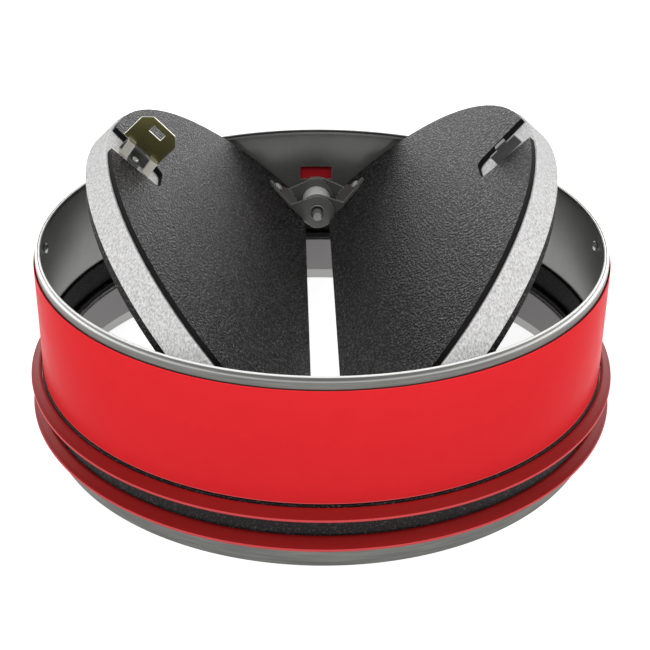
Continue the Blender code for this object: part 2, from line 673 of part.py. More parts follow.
def link_front(parent):
    """A brass plate with two cut corners, a window, and two prongs that hook over the catch."""
    near = -CATCH_SHEET / 2 - SEAT_GAP
    far = near - LINK_SHEET
    start, end = LINK_MIDDLE - LINK_HALF, LINK_MIDDLE + LINK_HALF
    outline = [
        (reach(start), height(LINK_LOW)),
        (reach(end), height(LINK_LOW)),
        (reach(end), height(LINK_HIGH - LINK_CHAMFER)),
        (reach(end - LINK_CHAMFER), height(LINK_HIGH)),
        (reach(start + LINK_CHAMFER), height(LINK_HIGH)),
        (reach(start), height(LINK_HIGH - LINK_CHAMFER)),
    ]
    body = finish("fusible_link_front", prism(outline, far, near, upright), "brass", parent)
    knee = CATCH_SHEET / 2 + PRONG_REACH
    foot_y = CATCH_SHEET / 2 + PRONG_FOOT_Y
    side = [
        (far, height(LINK_LOW)),
        (knee - 0.2 * MM, height(LINK_LOW)),
        (foot_y - 0.3 * MM, height(PRONG_FOOT_T - 0.3 * MM)),
        (foot_y, height(PRONG_FOOT_T)),
        (knee, height(LINK_LOW + LINK_SHEET)),
        (far, height(LINK_LOW + LINK_SHEET)),
    ]
    for index, offset in enumerate(PRONG_OFFSETS):
        first = reach(LINK_MIDDLE + offset)
        prong = prism(side, first, first + PRONG_WIDTH, sideways)
        boolean(body, finish("prong_%d" % (index + 1), prong, "brass", parent), "UNION")
    left, right = reach(TAB_MIDDLE - LINK_WINDOW_HALF), reach(TAB_MIDDLE + LINK_WINDOW_HALF)
    low, high = height(LINK_WINDOW_LOW), height(LINK_WINDOW_HIGH)
    window = prism([(left, low), (right, low), (right, high), (left, high)], far - MM, near + MM, upright)
    boolean(body, finish("link_window_cutter", window, "brass", parent), "DIFFERENCE")


def link_back(parent):
    """The second half of the link, soldered behind the first."""
    near = -CATCH_SHEET / 2 - 2 * SEAT_GAP - LINK_SHEET
    left, right = reach(LINK_MIDDLE - LINK_BACK_HALF), reach(LINK_MIDDLE + LINK_BACK_HALF)
    low, high = height(LINK_BACK_LOW), height(LINK_BACK_HIGH)
    outline = [(left, low), (right, low), (right, high), (left, high)]
    finish("fusible_link_back", prism(outline, near - LINK_SHEET, near, upright), "brass", parent)


# Closing spring round the front bush

def coil_rise():
    """Each spring's coil takes half of the room between the bush's two shoulders."""
    return (bush_high() - bush_low() - 4 * WIRE_R - 3 * SEAT_GAP) / 2


def closing_spring(name, first_y, direction, parent):
    """Turns of wire round the bush, then a leg that lies along the bracket's flange."""
    pitch = coil_rise() / COIL_TURNS
    points = []
    for i in range(COIL_TURNS * COIL_STEPS + 1):
        angle = -pi / 2 - 2 * pi * (COIL_TURNS - i / COIL_STEPS)
        y = first_y + direction * pitch * i / COIL_STEPS
        points.append(Vector((COIL_R * cos(angle), y, COIL_R * sin(angle))))
    end = points[-1]
    points.append(Vector((SPRING_LEG, end.y, end.z)))
    mesh_data = bmesh.new()
    rings = []
    for i, point in enumerate(points):
        before = points[max(i - 1, 0)]
        after = points[min(i + 1, len(points) - 1)]
        along = (after - before).normalized()
        across = Vector((0.0, 1.0, 0.0))
        up = along.cross(across).normalized()
        across = up.cross(along).normalized()
        loop = [mesh_data.verts.new(point + WIRE_R * (cos(a) * up + sin(a) * across))
                for a in (2 * pi * k / WIRE_STEPS for k in range(WIRE_STEPS))]
        rings.append(loop)
    for low, high in zip(rings, rings[1:]):
        for k in range(WIRE_STEPS):
            j = (k + 1) % WIRE_STEPS
            mesh_data.faces.new((low[k], low[j], high[j], high[k]))
    mesh_data.faces.new(rings[0][::-1])
    mesh_data.faces.new(rings[-1])
    finish(name, mesh_data, "spring_steel", parent, smooth_angle=radians(50))


def build():
    clear_scene()
    casing()
    bare = CASING_OUTER_R + SEAT_GAP
    ring("wrap_sleeve", bare, bare + WRAP_THICK, WRAP_LOW, CASING_HEIGHT - WRAP_BELOW_RIM, "red_wrap")
    ring("outer_intumescent_strip", bare, STRIP_OUTER_R, STRIP_LOW, WRAP_LOW - SEAT_GAP, "graphite")
    lip_seal("upper_lip_seal", LOWER_LIP_EDGE + LIP_PITCH)
    lip_seal("lower_lip_seal", LOWER_LIP_EDGE)
    band_outer = CASING_INNER_R - BAND_WALL_GAP
    band_low = STOP_TOP + SEAT_GAP
    ring("inner_intumescent_band", band_outer - BAND_THICK, band_outer, band_low,
         band_low + BAND_HEIGHT, "graphite")
    stop_ring()
    ring("blade_seal", STOP_INNER_R, STOP_INNER_R + SEAL_DEPTH, SEAL_TOP - SEAL_HEIGHT, SEAL_TOP,
         "graphite")
    for name, side in (("rear", 1), ("front", -1)):
        hinge_pin("hinge_pin_" + name, side)
        hinge_bush("hinge_bush_" + name, side, BUSH_R if side == 1 else SPRING_BUSH_R)
    side_rivet("side_rivet_left", -1)
    side_rivet("side_rivet_right", 1)

    right = pivot("blade_right_pivot", RIGHT_OPEN, False)
    left = pivot("blade_left_pivot", LEFT_OPEN, True)
    blade("right", right, False)
    blade("left", left, True)
    link_front(left)
    link_back(left)
    start = bush_low() + SEAT_GAP + WIRE_R
    end = bush_high() - SEAT_GAP - WIRE_R
    closing_spring("closing_spring_left", start, 1, left)
    closing_spring("closing_spring_right", -end, 1, right)


build()
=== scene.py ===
"""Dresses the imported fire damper: rings, blades, hinge hardware and fusible link with their finishes.

Metres, +Z up along the duct. Sizes come from the CAD nodes where they can. Rings are turned round the
duct's axis. Pins, bushes and rivets are turned along their own axis and are then moved into place.
Boards, skins and sheet pieces are welded copies of their CAD nodes with rounded edges.
"""
import json
from math import cos, pi, radians, sin

import bpy
from mathutils import Matrix, Vector


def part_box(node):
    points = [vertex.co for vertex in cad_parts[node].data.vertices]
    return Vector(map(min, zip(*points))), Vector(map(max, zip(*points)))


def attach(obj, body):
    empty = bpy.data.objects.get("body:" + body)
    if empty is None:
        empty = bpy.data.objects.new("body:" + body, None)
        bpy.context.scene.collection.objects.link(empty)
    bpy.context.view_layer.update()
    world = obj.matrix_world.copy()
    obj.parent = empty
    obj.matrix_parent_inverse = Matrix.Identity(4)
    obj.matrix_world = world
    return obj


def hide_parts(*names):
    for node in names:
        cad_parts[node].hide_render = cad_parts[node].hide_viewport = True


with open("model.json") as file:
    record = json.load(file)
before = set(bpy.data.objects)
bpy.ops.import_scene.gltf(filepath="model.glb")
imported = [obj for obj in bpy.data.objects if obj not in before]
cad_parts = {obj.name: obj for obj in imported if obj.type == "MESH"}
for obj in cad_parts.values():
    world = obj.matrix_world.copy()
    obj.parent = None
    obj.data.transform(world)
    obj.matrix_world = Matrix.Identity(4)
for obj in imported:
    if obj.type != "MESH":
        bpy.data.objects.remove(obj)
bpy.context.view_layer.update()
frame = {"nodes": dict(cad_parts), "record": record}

MM = 0.001

# The blades' sides, and the hinges' ends with their direction along Y
SIDES = ("left", "right")
ENDS = {"rear": 1, "front": -1}

# Steps round a ring, a small turned piece, a rivet's dome, the rim's curl and its bead
RING_STEPS = 240
SMALL_STEPS = 48
DOME_STEPS = 9
CURL_STEPS = 8
BEAD_STEPS = 14

# The hinges, from the record
JOINTS = {joint["child"]: joint for joint in frame["record"]["behaviour"]["joints"]}
PIN_Z = JOINTS["blade_right"]["pos_m"][2]
OPEN_ANGLE = {side: -radians(JOINTS["blade_" + side]["range_deg"][0]) for side in SIDES}

# Casing, the curl and hem of its rim, and the bead in the hem
CASING_OUTER_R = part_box("casing")[1].x
CASING_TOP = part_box("casing")[1].z
CASING_WALL = 0.74 * MM
CASING_INNER_R = CASING_OUTER_R - CASING_WALL
CASING_CHAMFER = 0.12 * MM
CURL_R = 1.45 * MM
CURL_TURN = radians(64)
HEM_INNER_R = CASING_OUTER_R - 2.04 * MM
HEM_DROP = 1.6 * MM
BEAD_OUTER_R = HEM_INNER_R + 1.0 * MM

# The window in the casing's rear wall, and how far its cutter reaches past the sheet
WINDOW_HALF = 6.4 * MM
WINDOW_LOW = 45.3 * MM
WINDOW_HIGH = 50.8 * MM
CUTTER_REACH = 3.0 * MM

# Hinge pin, its boss on the wall, and the bush's end against that boss
SEAT_GAP = 0.3 * MM
PIN_R = 1.95 * MM
BOSS_R = 4.4 * MM
BUSH_END = max(abs(corner.y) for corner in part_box("hinge_bush_rear"))

# A rivet's head, the straight part of its height, and the flat at the dome's middle as an angle
HEAD_HIGH = 1.0 * MM
HEAD_RIM = 0.25 * MM
DOME_FLAT = 0.04


def inner_radius(node):
    """A ring's inner radius, read from its CAD node."""
    return min((v.co.x ** 2 + v.co.y ** 2) ** 0.5 for v in frame["nodes"][node].data.vertices)


STOP_INNER_R = inner_radius("stop_ring")
STOP_SHEET = 0.8 * MM


def blade_frame(side):
    """The matrix from a blade lying flat about its hinge axis to its place at rest."""
    turn = pi if side == "left" else 0.0
    return (Matrix.Translation((0.0, 0.0, PIN_Z)) @ Matrix.Rotation(turn, 4, "Z")
            @ Matrix.Rotation(-OPEN_ANGLE[side], 4, "Y"))


def colour(red, green, blue):
    """A screen colour, 0 to 255, as the linear colour a shader takes."""
    def linear(value):
        part = value / 255
        return part / 12.92 if part <= 0.04045 else ((part + 0.055) / 1.055) ** 2.4
    return (linear(red), linear(green), linear(blue), 1.0)


# Shader groups

def new_group(name, inputs, outputs):
    """A shader group with float inputs at their usual values, and float outputs."""
    group = bpy.data.node_groups.new(name, "ShaderNodeTree")
    for label, usual in inputs.items():
        made = group.interface.new_socket(label, in_out="INPUT", socket_type="NodeSocketFloat")
        made.default_value = usual
    for label in outputs:
        group.interface.new_socket(label, in_out="OUTPUT", socket_type="NodeSocketFloat")
    group.nodes.new("NodeGroupInput")
    group.nodes.new("NodeGroupOutput")
    return group


def add(tree, kind, values=None, **settings):
    """A node with its settings and the values of its unlinked sockets."""
    made = tree.nodes.new("ShaderNode" + kind)
    for key, value in settings.items():
        setattr(made, key, value)
    for key, value in (values or {}).items():
        made.inputs[key].default_value = value
    return made


def link(tree, source, output, target, socket):
    """Link a node's output to another node's input."""
    tree.links.new(source.outputs[output], target.inputs[socket])


def ends_of(group):
    """The nodes where a group's values come in and go out."""
    return group.nodes["Group Input"], group.nodes["Group Output"]


def grain_group():
    """Fine mottling, stretched along one axis for rolled or brushed metal."""
    group = new_group("fine_grain", {"Scale": 900.0, "Stretch": 1.0, "Detail": 4.0}, ("Height", "Shade"))
    start, end = ends_of(group)
    place = add(group, "TexCoord")
    stretch = add(group, "CombineXYZ", {"X": 1.0, "Y": 1.0})
    scaled = add(group, "VectorMath", operation="MULTIPLY")
    noise = add(group, "TexNoise", {"Roughness": 0.62})
    slow = add(group, "TexNoise", {"Detail": 3.0})
    slow_scale = add(group, "Math", {1: 0.06}, operation="MULTIPLY")
    mixed = add(group, "Math", {1: 0.55}, operation="MULTIPLY")
    total = add(group, "Math", {1: 0.45}, operation="MULTIPLY_ADD")
    link(group, start, "Stretch", stretch, "Z")
    link(group, place, "Object", scaled, 0)
    link(group, stretch, "Vector", scaled, 1)
    link(group, scaled, "Vector", noise, "Vector")
    link(group, start, "Scale", noise, "Scale")
    link(group, start, "Detail", noise, "Detail")
    link(group, start, "Scale", slow_scale, 0)
    link(group, place, "Object", slow, "Vector")
    link(group, slow_scale, "Value", slow, "Scale")
    link(group, noise, "Fac", mixed, 0)
    link(group, slow, "Fac", total, 0)
    link(group, mixed, "Value", total, 2)
    link(group, noise, "Fac", end, "Height")
    link(group, total, "Value", end, "Shade")
    return group


def leather_group():
    """Raised pebbles with creases between them, on coordinates that wander."""
    group = new_group("leather_grain", {"Scale": 800.0, "Wander": 0.35}, ("Height", "Crease"))
    start, end = ends_of(group)
    place = add(group, "TexCoord")
    warp = add(group, "TexNoise", {"Detail": 3.0})
    warp_scale = add(group, "Math", {1: 0.45}, operation="MULTIPLY")
    centred = add(group, "VectorMath", {1: (0.5, 0.5, 0.5)}, operation="SUBTRACT")
    cell = add(group, "Math", operation="DIVIDE")
    reach = add(group, "Math", {1: 6.0}, operation="MULTIPLY")
    shift = add(group, "VectorMath", operation="SCALE")
    moved = add(group, "VectorMath", operation="ADD")
    cells = add(group, "TexVoronoi", {"Smoothness": 0.3}, feature="SMOOTH_F1")
    fine = add(group, "TexNoise", {"Detail": 3.0, "Roughness": 0.55})
    fine_scale = add(group, "Math", {1: 2.0}, operation="MULTIPLY")
    pebble = add(group, "MapRange", {"From Min": 0.05, "From Max": 0.75, "To Min": 1.0, "To Max": 0.0},
                 interpolation_type="SMOOTHSTEP")
    total = add(group, "Math", {1: 0.7}, operation="MULTIPLY_ADD")
    link(group, place, "Object", warp, "Vector")
    link(group, start, "Scale", warp_scale, 0)
    link(group, warp_scale, "Value", warp, "Scale")
    link(group, warp, "Color", centred, 0)
    link(group, start, "Wander", cell, 0)
    link(group, start, "Scale", cell, 1)
    link(group, cell, "Value", reach, 0)
    link(group, centred, "Vector", shift, 0)
    link(group, reach, "Value", shift, "Scale")
    link(group, place, "Object", moved, 0)
    link(group, shift, "Vector", moved, 1)
    link(group, moved, "Vector", cells, "Vector")
    link(group, start, "Scale", cells, "Scale")
    link(group, start, "Scale", fine_scale, 0)
    link(group, moved, "Vector", fine, "Vector")
    link(group, fine_scale, "Value", fine, "Scale")
    link(group, cells, "Distance", pebble, "Value")
    link(group, fine, "Fac", total, 0)
    link(group, pebble, "Result", total, 2)
    link(group, total, "Value", end, "Height")
    link(group, pebble, "Result", end, "Crease")
    return group


def edge_group():
    """A mask of the edges that catch light or lose their coating."""
    group = new_group("edge_wear_and_highlight_mask", {"Width": 0.3 * MM, "Breakup": 0.3}, ("Mask",))
    start, end = ends_of(group)
    softened = add(group, "Bevel", samples=6)
    plain = add(group, "NewGeometry")
    facing = add(group, "VectorMath", operation="DOT_PRODUCT")
    mask = add(group, "MapRange", {"From Min": 0.995, "From Max": 0.86, "To Min": 0.0, "To Max": 1.0})
    place = add(group, "TexCoord")
    noise = add(group, "TexNoise", {"Scale": 700.0, "Detail": 3.0})
    loss = add(group, "Math", operation="MULTIPLY")
    kept = add(group, "Math", {0: 1.0}, operation="SUBTRACT")
    result = add(group, "Math", operation="MULTIPLY", use_clamp=True)
    link(group, start, "Width", softened, "Radius")
    link(group, softened, "Normal", facing, 0)
    link(group, plain, "Normal", facing, 1)
    link(group, facing, "Value", mask, "Value")
    link(group, place, "Object", noise, "Vector")
    link(group, noise, "Fac", loss, 0)
    link(group, start, "Breakup", loss, 1)
    link(group, loss, "Value", kept, 1)
    link(group, mask, "Result", result, 0)
    link(group, kept, "Value", result, 1)
    link(group, result, "Value", end, "Mask")
    return group


def pit_group():
    """Scattered small pits and chips."""
    group = new_group("pits", {"Scale": 260.0, "Amount": 0.2}, ("Mask",))
    start, end = ends_of(group)
    place = add(group, "TexCoord")
    warp = add(group, "TexNoise", {"Scale": 1500.0, "Detail": 2.0})
    centred = add(group, "VectorMath", {1: (0.5, 0.5, 0.5)}, operation="SUBTRACT")
    shift = add(group, "VectorMath", {"Scale": 1.6 * MM}, operation="SCALE")
    moved = add(group, "VectorMath", operation="ADD")
    cells = add(group, "TexVoronoi", feature="F1")
    mask = add(group, "MapRange", {"To Min": 1.0, "To Max": 0.0})
    link(group, place, "Object", warp, "Vector")
    link(group, warp, "Color", centred, 0)
    link(group, centred, "Vector", shift, 0)
    link(group, place, "Object", moved, 0)
    link(group, shift, "Vector", moved, 1)
    link(group, moved, "Vector", cells, "Vector")
    link(group, start, "Scale", cells, "Scale")
    link(group, cells, "Distance", mask, "Value")
    link(group, start, "Amount", mask, "From Max")
    link(group, mask, "Result", end, "Mask")
    return group


def radius_group():
    """1 where a point lies farther from the duct's axis than a radius, and 0 inside it."""
    group = new_group("beyond_radius", {"Radius": 0.1}, ("Mask",))
    start, end = ends_of(group)
    place = add(group, "TexCoord")
    level = add(group, "VectorMath", {1: (1.0, 1.0, 0.0)}, operation="MULTIPLY")
    length = add(group, "VectorMath", operation="LENGTH")
    mask = add(group, "Math", operation="GREATER_THAN")
    link(group, place, "Object", level, 0)
    link(group, level, "Vector", length, 0)
    link(group, length, "Value", mask, 0)
    link(group, start, "Radius", mask, 1)
    link(group, mask, "Value", end, "Mask")
    return group


def level_group():
    """0 below a height and 1 above it, with a soft change between."""
    group = new_group("above_level", {"Level": 0.1, "Blend": 0.4 * MM}, ("Mask",))
    start, end = ends_of(group)
    place = add(group, "TexCoord")
    split = add(group, "SeparateXYZ")
    over = add(group, "Math", operation="SUBTRACT")
    mask = add(group, "Math", operation="DIVIDE", use_clamp=True)
    link(group, place, "Object", split, "Vector")
    link(group, split, "Z", over, 0)
    link(group, start, "Level", over, 1)
    link(group, over, "Value", mask, 0)
    link(group, start, "Blend", mask, 1)
    link(group, mask, "Value", end, "Mask")
    return group


def outward_group():
    """0 on faces that look towards the duct's axis and 1 on level and outer faces, softly between."""
    group = new_group("outward", {"Low": -0.5, "High": 0.0}, ("Mask",))
    start, end = ends_of(group)
    place = add(group, "TexCoord")
    plain = add(group, "NewGeometry")
    level = add(group, "VectorMath", {1: (1.0, 1.0, 0.0)}, operation="MULTIPLY")
    spoke = add(group, "VectorMath", operation="NORMALIZE")
    square = add(group, "VectorMath", operation="DOT_PRODUCT")
    mask = add(group, "MapRange")
    link(group, place, "Object", level, 0)
    link(group, level, "Vector", spoke, 0)
    link(group, spoke, "Vector", square, 0)
    link(group, plain, "Normal", square, 1)
    link(group, square, "Value", mask, "Value")
    link(group, start, "Low", mask, "From Min")
    link(group, start, "High", mask, "From Max")
    link(group, mask, "Result", end, "Mask")
    return group


def facing_group():
    """1 on faces square to a direction, such as a skin's broad faces, and 0 on its cut edges."""
    group = new_group("facing", {"Across": 0.0, "Along": 0.0, "Up": 1.0}, ("Mask",))
    start, end = ends_of(group)
    towards = add(group, "CombineXYZ")
    plain = add(group, "NewGeometry")
    square = add(group, "VectorMath", operation="DOT_PRODUCT")
    size = add(group, "Math", operation="ABSOLUTE")
    mask = add(group, "MapRange", {"From Min": 0.8, "From Max": 0.97})
    for socket, axis in (("Across", "X"), ("Along", "Y"), ("Up", "Z")):
        link(group, start, socket, towards, axis)
    link(group, plain, "True Normal", square, 0)
    link(group, towards, "Vector", square, 1)
    link(group, square, "Value", size, 0)
    link(group, size, "Value", mask, "Value")
    link(group, mask, "Result", end, "Mask")
    return group


GRAIN = grain_group()
LEATHER = leather_group()
EDGES = edge_group()
PITS = pit_group()
BEYOND = radius_group()
FACING = facing_group()
ABOVE = level_group()
OUTWARD = outward_group()


# Materials

def new_material(name, roughness, metallic=0.0, specular=0.5):
    """A material, its node tree and its shader."""
    made = bpy.data.materials.new(name)
    made.use_nodes = True
    shader = made.node_tree.nodes["Principled BSDF"]
    shader.inputs["Roughness"].default_value = roughness
    shader.inputs["Metallic"].default_value = metallic
    shader.inputs["Specular IOR Level"].default_value = specular
    return made, made.node_tree, shader


def use_group(tree, group, **values):
    """A shader group in a material, with the values that differ from its usual ones."""
    made = tree.nodes.new("ShaderNodeGroup")
    made.node_tree = group
    for key, value in values.items():
        made.inputs[key].default_value = value
    return made


# A mix node's sockets for its two colours and for their mix
MIX_FIRST, MIX_SECOND, MIX_RESULT = 6, 7, 2


def mix_colours(tree, low, high, factor, output):
    """Mix two colours by a value between 0 and 1. Either colour may be a node's output socket."""
    made = tree.nodes.new("ShaderNodeMix")
    made.data_type = "RGBA"
    tree.links.new(factor.outputs[output], made.inputs["Factor"])
    for socket, value in ((made.inputs[MIX_FIRST], low), (made.inputs[MIX_SECOND], high)):
        if isinstance(value, bpy.types.NodeSocket):
            tree.links.new(value, socket)
        else:
            socket.default_value = value
    return made.outputs[MIX_RESULT]


def span(tree, source, output, low, high, to_low=0.0, to_high=1.0, shape="LINEAR"):
    """Stretch part of a value's range to another range."""
    made = add(tree, "MapRange", {"From Min": low, "From Max": high, "To Min": to_low, "To Max": to_high},
               interpolation_type=shape)
    link(tree, source, output, made, "Value")
    return made


def bump(tree, shader, source, output, depth, strength=1.0):
    """Raise a surface by a value, to a depth in metres."""
    made = add(tree, "Bump", {"Strength": strength, "Distance": depth})
    link(tree, source, output, made, "Height")
    link(tree, made, "Normal", shader, "Normal")


def casing_sheet():
    """Galvanised sheet: dull and faintly banded outside, paler inside, with painted light low inside from
    the floor, a painted highlight on the curl, and pale edges, partly wear and partly painted highlight.
    """
    made, tree, shader = new_material("galvanised", roughness=0.3, metallic=0.8)
    grain = use_group(tree, GRAIN, Scale=900.0, Stretch=3.0)
    bands = use_group(tree, GRAIN, Scale=55.0, Stretch=28.0, Detail=3.0)
    outside = use_group(tree, BEYOND, Radius=CASING_OUTER_R - CASING_WALL / 2)
    edge_wear_and_highlight = use_group(tree, EDGES, Width=0.4 * MM, Breakup=0.35)
    shade = span(tree, grain, "Shade", 0.3, 0.7)
    band = span(tree, bands, "Height", 0.35, 0.65)
    inner = mix_colours(tree, colour(140, 140, 139), colour(162, 162, 160), shade, "Result")
    outer = mix_colours(tree, colour(98, 99, 96), colour(118, 119, 115), band, "Result")
    # Painted light: the inside below the stop ring is paler, for light from the floor
    above_painted_floor_light = use_group(tree, ABOVE, Level=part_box("stop_ring")[0].z)
    inside = mix_colours(tree, colour(176, 176, 174), inner, above_painted_floor_light, "Mask")
    sides = mix_colours(tree, inside, outer, outside, "Mask")
    # Painted highlight: the curl and everything above its start is paler
    curl = use_group(tree, ABOVE, Level=CASING_TOP - CURL_R)
    body = mix_colours(tree, sides, colour(176, 176, 173), curl, "Mask")
    # Pale edges: partly wear, partly painted highlight
    finish = mix_colours(tree, body, colour(226, 226, 223), edge_wear_and_highlight, "Mask")
    tree.links.new(finish, shader.inputs["Base Color"])
    rough = span(tree, grain, "Height", 0.3, 0.7, to_low=0.28, to_high=0.36)
    duller = add(tree, "Math", {1: 0.02}, operation="MULTIPLY_ADD")
    link(tree, outside, "Mask", duller, 0)
    link(tree, rough, "Result", duller, 2)
    link(tree, duller, "Value", shader, "Roughness")
    bump(tree, shader, grain, "Height", depth=0.02 * MM, strength=0.35)
    return made


def plated_metal(name, dark, light, edge, roughness, edge_width, metallic=1.0, grain_scale=1600.0):
    """Plated sheet, wire or rod: mottled, and paler along its edges, partly wear and partly painted
    highlight.
    """
    made, tree, shader = new_material(name, roughness=roughness, metallic=metallic)
    grain = use_group(tree, GRAIN, Scale=grain_scale)
    edge_wear_and_highlight = use_group(tree, EDGES, Width=edge_width, Breakup=0.35)
    shade = span(tree, grain, "Shade", 0.3, 0.7)
    body = mix_colours(tree, dark, light, shade, "Result")
    # Pale edges: partly wear, partly painted highlight
    finish = mix_colours(tree, body, edge, edge_wear_and_highlight, "Mask")
    tree.links.new(finish, shader.inputs["Base Color"])
    rough = span(tree, grain, "Height", 0.3, 0.7, to_low=roughness - 0.03, to_high=roughness + 0.03)
    link(tree, rough, "Result", shader, "Roughness")
    bump(tree, shader, grain, "Height", depth=0.01 * MM, strength=0.15)
    return made


def lit_and_shaded_metal(name, metallic, shaded_face_colours, lit_side_colours, edge):
    """Metal with painted light and shade: darker tones on the faces square to the pins' axis as painted
    shade, paler tones on its sides as painted light, and pale edges, partly wear and partly painted
    highlight.
    """
    made, tree, shader = new_material(name, roughness=0.3, metallic=metallic)
    grain = use_group(tree, GRAIN, Scale=1400.0)
    face = use_group(tree, FACING, Across=0.0, Along=1.0, Up=0.0)
    edge_wear_and_highlight = use_group(tree, EDGES, Width=0.3 * MM, Breakup=0.2)
    # Painted shade on the faces square to the pins' axis, painted light on the sides
    faces = mix_colours(tree, *shaded_face_colours, grain, "Shade")
    sides = mix_colours(tree, *lit_side_colours, grain, "Shade")
    body = mix_colours(tree, sides, faces, face, "Mask")
    # Pale edges: partly wear, partly painted highlight
    finish = mix_colours(tree, body, edge, edge_wear_and_highlight, "Mask")
    tree.links.new(finish, shader.inputs["Base Color"])
    return made


def leather_skin(side):
    """Black leather-grained sheet: pale flecks on the tops of its pebbles as a painted highlight, and
    plain dark cut edges.
    """
    made, tree, shader = new_material("leather_skin_" + side, roughness=0.3, specular=0.45)
    square = blade_frame(side).to_3x3() @ Vector((0.0, 0.0, 1.0))
    grain = use_group(tree, LEATHER, Scale=1150.0, Wander=0.15)
    face = use_group(tree, FACING, Across=square.x, Along=square.y, Up=square.z)
    # Painted highlight: pale colour on the highest grain, for sheen on the pebbles
    pebble_highlight = span(tree, grain, "Height", 0.9, 1.4)
    leather = mix_colours(tree, colour(1, 1, 1), colour(158, 155, 156), pebble_highlight, "Result")
    base = mix_colours(tree, colour(12, 11, 11), leather, face, "Mask")
    tree.links.new(base, shader.inputs["Base Color"])
    polish = span(tree, grain, "Crease", 0.0, 1.0, to_low=0.54, to_high=0.64)
    shine = add(tree, "Math", operation="MULTIPLY")
    rough = add(tree, "Math", {0: 0.92}, operation="SUBTRACT")
    link(tree, polish, "Result", shine, 0)
    link(tree, face, "Mask", shine, 1)
    link(tree, shine, "Value", rough, 1)
    link(tree, rough, "Value", shader, "Roughness")
    raised = add(tree, "Math", operation="MULTIPLY")
    link(tree, grain, "Height", raised, 0)
    link(tree, face, "Mask", raised, 1)
    bump(tree, shader, raised, "Value", depth=2.2 * MM)
    return made


def speckled_black(name, dark, light, depth):
    """Coarse black with lighter specks, for the strips that swell in a fire and the lower skins."""
    made, tree, shader = new_material(name, roughness=0.7, specular=0.35)
    grain = use_group(tree, GRAIN, Scale=1500.0, Detail=3.0)
    specks = span(tree, grain, "Height", 0.54, 0.66)
    base = mix_colours(tree, dark, light, specks, "Result")
    tree.links.new(base, shader.inputs["Base Color"])
    bump(tree, shader, grain, "Height", depth, strength=0.9)
    return made


def plaster_board():
    """White insulating board: grainy, pitted, and paler along its edges, partly wear and partly painted
    highlight.
    """
    made, tree, shader = new_material("insulating_board", roughness=0.9, specular=0.15)
    grain = use_group(tree, GRAIN, Scale=1700.0, Detail=3.0, Stretch=0.45)
    pits = use_group(tree, PITS, Scale=620.0, Amount=0.17)
    edge_wear_and_highlight = use_group(tree, EDGES, Width=0.3 * MM, Breakup=0.6)
    shade = span(tree, grain, "Height", 0.36, 0.6)
    body = mix_colours(tree, colour(186, 185, 185), colour(230, 229, 229), shade, "Result")
    pitted = mix_colours(tree, body, colour(122, 120, 119), pits, "Mask")
    # Pale edges: partly wear, partly painted highlight
    finish = mix_colours(tree, pitted, colour(240, 240, 239), edge_wear_and_highlight, "Mask")
    tree.links.new(finish, shader.inputs["Base Color"])
    lowered = add(tree, "Math", {1: -0.5}, operation="MULTIPLY_ADD")
    link(tree, pits, "Mask", lowered, 0)
    link(tree, grain, "Height", lowered, 2)
    bump(tree, shader, lowered, "Value", depth=0.5 * MM)
    return made


def glossy_wrap():
    """Red film: smooth outside, with painted shade on its inner side and a painted highlight along its
    lower edge.
    """
    inner_r = CASING_OUTER_R + SEAT_GAP
    low_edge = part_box("wrap_sleeve")[0].z
    made, tree, shader = new_material("red_wrap", roughness=0.3, specular=0.05)
    shader.inputs["IOR"].default_value = 1.2
    grain = use_group(tree, GRAIN, Scale=160.0, Detail=2.0)
    outside = use_group(tree, BEYOND, Radius=inner_r + 0.15 * MM)
    face = mix_colours(tree, colour(238, 44, 50), colour(248, 52, 57), grain, "Shade")
    # Painted highlight: a pale line along the film's lower edge
    above_edge_highlight = use_group(tree, ABOVE, Level=low_edge + 0.2 * MM, Blend=0.2 * MM)
    edged = mix_colours(tree, colour(250, 110, 112), face, above_edge_highlight, "Mask")
    # Painted shade: the film's inner side is darker red
    base = mix_colours(tree, colour(158, 30, 36), edged, outside, "Mask")
    tree.links.new(base, shader.inputs["Base Color"])
    rough = span(tree, grain, "Height", 0.3, 0.7, to_low=0.28, to_high=0.36)
    link(tree, rough, "Result", shader, "Roughness")
    bump(tree, shader, grain, "Shade", depth=0.04 * MM, strength=0.2)
    return made


def red_rubber(name, seal):
    """Dull red rubber with a painted highlight as a bright line along a lip seal's outer edge."""
    outer_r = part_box(seal)[1].x
    highlight_band = 0.16 * MM
    made, tree, shader = new_material(name, roughness=0.45, specular=0.08)
    grain = use_group(tree, GRAIN, Scale=1300.0, Detail=3.0)
    # Painted highlight: a bright line along the lip's outer edge
    edge = use_group(tree, BEYOND, Radius=outer_r - highlight_band)
    body = mix_colours(tree, colour(120, 19, 18), colour(136, 23, 22), grain, "Shade")
    finish = mix_colours(tree, body, colour(216, 78, 80), edge, "Mask")
    tree.links.new(finish, shader.inputs["Base Color"])
    bump(tree, shader, grain, "Height", depth=0.03 * MM, strength=0.4)
    return made


